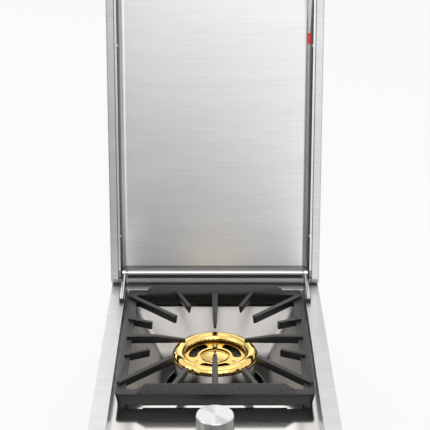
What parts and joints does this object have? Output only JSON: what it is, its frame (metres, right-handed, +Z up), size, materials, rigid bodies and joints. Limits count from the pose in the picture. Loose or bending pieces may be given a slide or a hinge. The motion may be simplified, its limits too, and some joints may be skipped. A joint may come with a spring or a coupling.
{
  "type": "built in side burner",
  "caption": "Drop in gas side burner with a brushed steel frame and lid, brass ring burner, cast iron grate, pyramid drip bowl and a top mounted knob.",
  "frame": {"origin": "centre of the rectangular top frame, in the plane of the counter under its flange", "axes": "+Z up, +Y to the hinge at the back, +X to the right of a person at the knob"},
  "size_m": [0.358, 0.6726, 0.7286],
  "materials": {
    "brushed_steel": "brushed across",
    "liner_steel": "brushed across",
    "polished_steel": "polished",
    "bowl_steel": "bright annealed",
    "box_steel": "galvanised",
    "screw_steel": "plain",
    "burner_brass": "polished",
    "fitting_brass": "machined",
    "cast_aluminium": "cast",
    "knob_aluminium": "turned and bead blasted",
    "gas_pipe": "drawn",
    "enamelled_iron": "matt black enamel",
    "black_plastic": "moulded",
    "nylon": "moulded",
    "ceramic": "glazed ceramic",
    "lead_insulation": "silicone",
    "rubber": "moulded",
    "rod_steel": "dark satin",
    "red_cap": "moulded silicone"
  },
  "bodies": {
    "burner_box": {"top_frame": "brushed_steel", "deck_plate": "polished_steel", "drip_bowl": "bowl_steel", "left_side_panel": "box_steel", "right_side_panel": "box_steel", "front_panel": "box_steel", "rear_panel": "box_steel", "floor_panel": "box_steel", "panel_screws": "screw_steel", "burner_ring": "burner_brass", "burner_cap": "burner_brass", "ring_screws": "screw_steel", "burner_base": "cast_aluminium", "burner_bridge": "box_steel", "bridge_screws": "screw_steel", "venturi_tube": "cast_aluminium", "air_shutter": "screw_steel", "shutter_screw": "screw_steel", "valve_bracket": "box_steel", "valve_bonnet": "fitting_brass", "valve_body": "fitting_brass", "stem_bush": "nylon", "stem_spring": "screw_steel", "feed_tube": "cast_aluminium", "orifice_spud": "fitting_brass", "supply_pipe": "gas_pipe", "inlet_fitting": "fitting_brass", "piezo_unit": "black_plastic", "ignition_lead": "lead_insulation", "electrode_insulator": "ceramic", "electrode_tip": "screw_steel", "electrode_bracket": "box_steel", "hinge_arm_left": "polished_steel", "hinge_arm_right": "polished_steel", "arm_foot_left": "black_plastic", "arm_foot_right": "black_plastic"},
    "lid": {"lid_shell": "brushed_steel", "lid_liner": "liner_steel", "hinge_rod": "polished_steel", "hinge_screws": "screw_steel", "liner_screws": "screw_steel", "lid_bumpers": "rubber", "handle_tube": "polished_steel", "handle_caps": "black_plastic", "handle_posts": "brushed_steel", "handle_screws": "screw_steel", "rod_clip": "black_plastic"},
    "stem_collar": {"stem_washer": "screw_steel"},
    "control_knob": {"knob": "knob_aluminium", "valve_stem": "screw_steel"},
    "gas_plug": {"valve_plug": "fitting_brass"},
    "lift_off_grate": {"grate": "enamelled_iron"},
    "lighter": {"lighting_rod": "rod_steel", "rod_tip": "red_cap"}
  },
  "joints": [
    {"name": "lid_hinge", "type": "hinge", "parent": "burner_box", "child": "lid", "pos_m": [0, 0.256, 0.021], "axis": [1, 0, 0], "range_deg": [0, 98.5]},
    {"name": "knob_push", "type": "slide", "parent": "burner_box", "child": "stem_collar", "axis": [0, 0, 1], "range_m": [-0.003, 0], "stiffness_N_per_m": 800, "springref_m": 0.004, "deforming": ["stem_spring"]},
    {"name": "knob_turn", "type": "hinge", "parent": "stem_collar", "child": "control_knob", "pos_m": [0, -0.196, 0], "axis": [0, 0, 1], "range_deg": [0, 210]},
    {"name": "plug_turn", "type": "hinge", "parent": "burner_box", "child": "gas_plug", "pos_m": [0, -0.196, 0], "axis": [0, 0, 1], "range_deg": [0, 210]},
    {"name": "grate_lift", "type": "slide", "parent": "burner_box", "child": "lift_off_grate", "axis": [0, 0, 1], "range_m": [0, 0.1]},
    {"name": "rod_pull", "type": "slide", "parent": "lid", "child": "lighter", "axis": [0, -0.1478, -0.989], "range_m": [0, 0.06]}
  ],
  "couplings": [
    {"joint": "plug_turn", "follows": "knob_turn", "ratio": 1}
  ]
}
